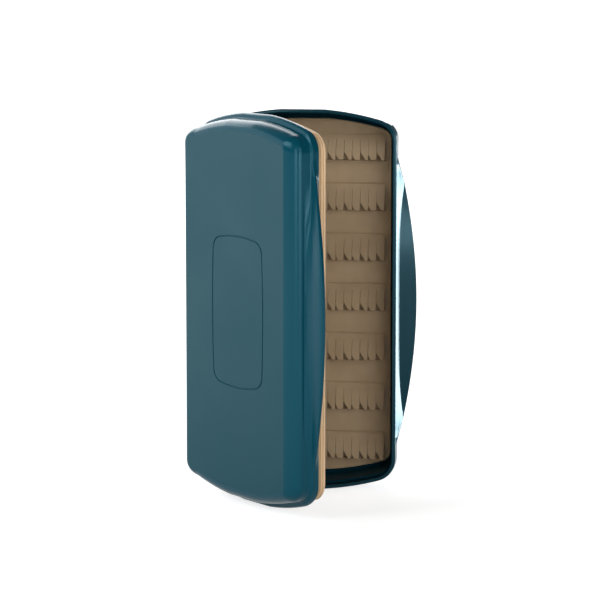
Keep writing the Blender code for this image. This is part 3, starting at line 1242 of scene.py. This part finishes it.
@dataclass
class SlitMat:
    """A slit silicone mat: a sheet on its shell's floor with ramped rows of slit fingers.

    A pocket lies between two distances down from its row's top edge. The notches of the fingers, deep and
    shallow by turns, have a width and a height.
    """

    shell: Shell
    sheet: float = 1.9 * MM
    end_spare: float = 0.0
    edge: float = 0.6 * MM
    edge_steps: int = 4
    rows: int = 7
    row_pitch: float = 23.8 * MM
    row_lift: float = 5.35 * MM
    flap_length: float = 11.6 * MM
    flap: float = 0.9 * MM
    flap_step: float = 0.2 * MM
    flap_rise: float = 5.0 * MM
    flap_margin: float = 2.2 * MM
    groove_reach: float = 0.8 * MM
    groove_depth: float = 0.6 * MM
    groove_steps: int = 12
    finger_pitch: float = 3.87 * MM
    pocket: Flat = (12.2 * MM, 4.6 * MM)
    pocket_depth: float = 1.6 * MM
    slit: float = 0.14 * MM
    slit_start: float = 2.4 * MM
    deep: Flat = (2.6 * MM, 3.6 * MM)
    shallow: Flat = (1.5 * MM, 2.3 * MM)
    soft_edge: float = 0.06 * MM
    soft_steps: int = 2
    bend: float = math.radians(0.9)
    seed: int = 7

    @property
    def facing(self) -> int:
        """The way that depth runs in the mat's half."""
        return self.shell.half.facing

    @property
    def inset(self) -> float:
        """Inset of the mat's edge from the rim outline."""
        return self.shell.ledge + self.shell.inner_draft + self.shell.floor_fillet + FIT

    @property
    def face(self) -> float:
        """Depth of the sheet's face."""
        return self.shell.depth - self.shell.wall - FIT - self.sheet

    @property
    def fingers(self) -> int:
        """How many fingers a row has."""
        return int((RIM.width - 2 * (self.inset + self.flap_margin)) / self.finger_pitch)

    @property
    def row_length(self) -> float:
        """Length of a row."""
        return self.fingers * self.finger_pitch

    @property
    def first_row(self) -> Point:
        """Upper left of the first row, on the sheet's face."""
        across = RIM.middle - self.row_length / 2
        return across, self.facing * (RIM.parting + self.face), self.row_top(0)

    def row_top(self, row: int) -> float:
        """Height of a row's top edge."""
        return self.row_pitch * ((self.rows - 1) / 2 - row) + self.row_lift

    def rise(self, down: float) -> float:
        """Height of the ramp over the sheet, at a distance down from the row's top edge."""
        return self.flap_step + (self.flap_rise - self.flap_step) * down / self.flap_length

    def sheet_mesh(self) -> Object:
        """The sheet with a soft edge, a groove above each row, and a pocket under its fingers.

        Returns:
            The sheet, in its half's own frame.
        """
        back = self.face + self.sheet
        extra = self.shell.end_step - self.shell.band_step + self.end_spare
        rings = [plain_ring(self.inset, back, extra)]
        for x, y in arc(self.edge_steps):
            inset = self.inset + self.edge * (1 - x)
            rings.append(plain_ring(inset, self.face + self.edge * (1 - y), extra))
        made = stand("sheet", loft([RIM.lay(ring, self.facing) for ring in rings]))
        left, face, _ = self.first_row
        right = left + self.row_length
        turns = arc(self.groove_steps, math.tau)[:-1]
        section = [(self.groove_depth * y, self.groove_reach * x) for x, y in turns]
        cuts = []
        for row in range(self.rows):
            top = self.row_top(row) + self.groove_reach / 2
            cuts.append(loft([[(x, face + y, top + z) for y, z in section] for x in (left, right)]))
            low, high = (self.row_top(row) - down for down in self.pocket)
            depths = sorted(face + self.facing * reach for reach in (self.pocket_depth, -OVERRUN))
            cuts.append(block((left, depths[0], low), (right, depths[1], high)))
        combine(made, Join.CUT, merge(cuts))
        return made

    def tongue(self, name: str, plan: Sequence[Flat]) -> Object:
        """A flap on a plan of (across, down), rising out of the sheet along the ramp.

        Args:
            name: Name of the helper object.
            plan: Corner points, measured from the row's upper left.

        Returns:
            A helper object with softened upper edges.
        """
        base = [(x, -self.facing * (self.rise(down) - self.flap), -down) for x, down in plan]
        ramp = [(x, -self.facing * self.rise(down), -down) for x, down in plan]
        mesh = loft([base, ramp])
        mesh.faces.ensure_lookup_table()
        upper = max(mesh.faces, key=lambda face: -self.facing * face.calc_center_median().y)
        soften(mesh, upper.edges, self.soft_edge, self.soft_steps)
        return stand(name, mesh)

    def finger(self, name: str, notch: Flat) -> Object:
        """One finger, its tip cut away by a notch towards the slit on its left.

        Args:
            name: Name of the helper object.
            notch: The notch's width and height.

        Returns:
            The helper object.
        """
        left = self.slit / 2
        right = self.finger_pitch - self.slit / 2
        start = self.slit_start - self.slit
        tip = self.flap_length
        wide, high = notch
        plan = [(left, start), (left, tip - high), (left + wide, tip), (right, tip), (right, start)]
        return self.tongue(name, plan)

    def build(self, name: str, node: str, layout: FingerRows, material: Material) -> None:
        """Makes the mat.

        Args:
            name: Name of the piece.
            node: The solid that it stands for.
            layout: The tree that sets its fingers.
            material: The mat's finish.
        """
        length, start = self.row_length, self.slit_start
        corners = [(0.0, 0.0), (length, 0.0), (length, start), (0.0, start)]
        helpers = {
            "Deep Finger": self.finger("deep_finger", self.deep),
            "Shallow Finger": self.finger("shallow_finger", self.shallow),
            "Row Root": self.tongue("row_root", corners),
        }
        values = {
            **helpers,
            "Rows": self.rows,
            "Row Pitch": self.row_pitch,
            "Fingers": self.fingers,
            "Finger Pitch": self.finger_pitch,
            "First Row": self.first_row,
            "Bend": self.bend,
            "Seed": self.seed,
            "Material": material,
        }
        mat = self.sheet_mesh()
        mat.name = name
        modifier = mat.modifiers.new("fingers", "NODES")
        modifier.node_group = layout.tree
        for key, value in values.items():
            modifier[layout.inputs[key]] = value
        bake(mat)
        for helper in helpers.values():
            bpy.data.objects.remove(helper)
        settle(mat, self.shell.half, node, material)


def hang(item: Object, place: Point, aim: Point) -> None:
    """Puts a lamp or a camera in its place, facing its aim.

    Args:
        item: The lamp or camera.
        place: Where it stands.
        aim: The point that it faces.
    """
    item.location = place
    item.rotation_euler = (Vector(aim) - Vector(place)).to_track_quat("-Z", "Y").to_euler()
    bpy.context.scene.collection.objects.link(item)


@dataclass(frozen=True)
class Softbox:
    """A soft rectangular lamp that faces its aim."""

    name: str
    place: Point
    size: Flat
    power: float
    aim: Point = (0.0, 0.0, 0.09)
    spread: float = math.pi

    def build(self) -> None:
        """Hangs the lamp."""
        data = bpy.data.lights.new(self.name, "AREA")
        data.shape = "RECTANGLE"
        data.size, data.size_y = self.size
        data.energy = self.power
        data.spread = self.spread
        hang(bpy.data.objects.new(self.name, data), self.place, self.aim)


@dataclass
class Studio:
    """A pale floor, soft lamps and the photograph's camera."""

    floor_size: float = 60.0
    floor_colour: Colour = (0.55, 0.55, 0.55)
    floor_grain: float = 0.4
    grain_tone: Flat = (0.985, 1.0)
    # Glow near the box and far from it: dimmer near the box as a painted contact shadow.
    floor_glow: Flat = (0.76, 1.0)
    painted_shadow_reach: Flat = (0.07, 0.30)
    # The same in reflections: dimmer near the box as painted shade.
    mirror_glow: Flat = (0.5, 1.0)
    mirror_painted_shade_reach: Flat = (0.06, 0.45)
    world_colour: Colour = (0.06, 0.06, 0.063)
    camera_place: Point = (0.1805, -1.2268, 0.2598)
    camera_aim: Point = (-0.00197, 0.00295, 0.08917)
    lens: float = 159.8
    sensor: float = 36.0
    lamps: tuple[Softbox, ...] = (
        Softbox("back_panel", (-0.75, 1.45, 0.85), (2.2, 1.2), 27.0),
        Softbox("left_panel", (-1.38, 0.24, 0.55), (1.2, 1.1), 5.4, aim=(0.0, 0.0, 0.55)),
        Softbox("left_softbox", (-0.95, -0.60, 0.80), (0.6, 0.6), 6.0),
        Softbox("right_softbox", (0.70, -1.10, 0.50), (0.8, 1.0), 6.6, aim=(0.0, 0.0, 0.43)),
        Softbox("low_softbox", (0.42, -1.20, 0.11), (0.5, 0.2), 1.1),
        Softbox("front_strip", (-0.36, -1.18, 0.27), (0.34, 0.50), 2.2, aim=(0.0, 0.0, 0.27)),
        Softbox("front_softbox", (-0.10, -1.70, 0.90), (1.0, 0.8), 2.0),
        Softbox(
            "edge_light",
            (0.105, 0.0178, 0.10),
            (0.02, 0.19),
            0.05,
            aim=(0.05, 0.0004, 0.10),
            spread=math.radians(60),
        ),
    )

    def floor(self) -> None:
        """Lays the floor: white to the eye and in reflections, its glow dimmer by the box as a painted
        contact shadow, and also shaded by the box.
        """
        span = self.floor_size / 2
        mesh = bmesh.new()
        corners = [(-span, -span, 0.0), (span, -span, 0.0), (span, span, 0.0), (-span, span, 0.0)]
        mesh.faces.new([mesh.verts.new(corner) for corner in corners])
        floor = stand("floor", mesh)
        graph = Graph("floor_paper")
        grain = graph.between(graph.noise(self.floor_grain), self.grain_tone)
        path = graph.add("ShaderNodeLightPath", {}).outputs
        away = graph.add("ShaderNodeVectorMath", {0: graph.where}, operation="LENGTH").outputs["Value"]
        mirror = graph.math("MAXIMUM", path["Is Glossy Ray"], path["Is Transmission Ray"])
        # Reflections see the floor dimmer near the box: painted shade.
        mirrored = graph.math("MULTIPLY", mirror, graph.ramp(away, self.mirror_painted_shade_reach, self.mirror_glow))
        # The eye sees the floor dimmer near the box: painted contact shadow, on top of its real shading.
        glow = graph.ramp(away, self.painted_shadow_reach, self.floor_glow)
        direct = graph.math("MULTIPLY", path["Is Camera Ray"], glow)
        graph.feed(
            Base_Color=graph.mix(grain, (0.0, 0.0, 0.0), self.floor_colour),
            Roughness=1.0,
            Specular_IOR_Level=0.0,
            Emission_Color=(1.0, 1.0, 1.0, 1.0),
            Emission_Strength=graph.math("MAXIMUM", direct, mirrored),
        )
        floor.data.materials.append(graph.material)

    def world(self) -> None:
        """Sets the dim room round the lamps."""
        world = bpy.data.worlds.new("room")
        world.use_nodes = True
        world.node_tree.nodes["Background"].inputs["Color"].default_value = (*self.world_colour, 1.0)
        bpy.context.scene.world = world

    def camera(self) -> None:
        """Sets the camera where the photograph was taken from."""
        data = bpy.data.cameras.new("camera")
        data.lens = self.lens
        data.sensor_width = self.sensor
        data.clip_end = 2 * self.floor_size
        camera = bpy.data.objects.new("camera", data)
        hang(camera, self.camera_place, self.camera_aim)
        bpy.context.scene.camera = camera

    def build(self) -> None:
        """Sets up the whole studio."""
        self.floor()
        self.world()
        self.camera()
        for lamp in self.lamps:
            lamp.build()
        bpy.context.scene.view_settings.view_transform = "Standard"


def main() -> None:
    """Builds the box's pieces in order, then the studio."""
    logging.basicConfig(level=logging.INFO, format="%(name)s: %(message)s")
    lid_plastic = ShellPlastic("lid_plastic").material()
    # The tray is the lid's plastic, made darker as painted shade.
    shaded_tray_plastic = ShellPlastic(
        "shaded_tray_plastic",
        gloss_colour=(0.003, 0.030, 0.045),
        satin_colour=(0.002, 0.044, 0.062),
        tint=(0.4, 0.75, 0.9),
        gloss_roughness=0.12,
    ).material()
    mat_tan = Silicone(
        "mat_silicone",
        colour=(0.43, 0.315, 0.19),
        shade=(0.39, 0.28, 0.165),
        crest_highlight=(0.43, 0.315, 0.19),
        roughness=0.6,
    ).material()
    seal_tan = Silicone(
        "seal_silicone",
        colour=(0.68, 0.475, 0.26),
        shade=(0.64, 0.445, 0.24),
        crest_highlight=(1.0, 0.68, 0.40),
        roughness=0.45,
    ).material()
    steel = DrawnMetal("pin_steel", colour=(0.62, 0.62, 0.64), roughness=0.3).material()
    nickel = DrawnMetal("magnet_nickel", colour=(0.70, 0.69, 0.66), roughness=0.28).material()

    seal = PlugSeal()
    hinge = Hinge()
    magnets = Magnets()
    tray_tab = Tab(
        reach=9.1 * MM,
        scoop=0.0,
        profile=TRAY_SCOOP,
        facet=2.0 * MM,
        lean=0.625,
        arch=7.0 * MM,
        slope=0.27,
        power=8,
    )
    lid_tab = Tab(reach=9.4 * MM, scoop=3.3 * MM, profile=LID_SCOOP, flare=2.0 * MM, power=2)
    tray = Shell(
        Half.TRAY,
        depth=24.0 * MM,
        band=7.0 * MM,
        seat=seal.height + OVERRUN,
        tab=tray_tab,
        end_belly=0.15 * MM,
    )
    lid = Shell(
        Half.LID,
        depth=13.35 * MM,
        band=3.4 * MM,
        seat=seal.seat,
        tab=lid_tab,
        end_step=2.4 * MM,
    )
    for shell, name, node in ((tray, "tray_shell", "back_shell"), (lid, "lid_shell", "front_shell")):
        made = shell.build(name, hinge, magnets)
        if shell is lid:
            Label().press(made, -(RIM.parting + lid.depth))
        shell.mark(made)
        settle(made, shell.half, node, lid_plastic if shell is lid else shaded_tray_plastic)
    seal.build(seal_tan)
    layout = FingerRows()
    SlitMat(tray, end_spare=1.0 * MM).build("tray_mat", "back_mat", layout, mat_tan)
    SlitMat(lid).build("lid_mat", "front_mat", layout, mat_tan)
    hinge.pins(steel)
    magnets.bars(Half.TRAY, "back", nickel)
    magnets.bars(Half.LID, "front", nickel)
    Studio().build()


if __name__ == "__main__":
    main()
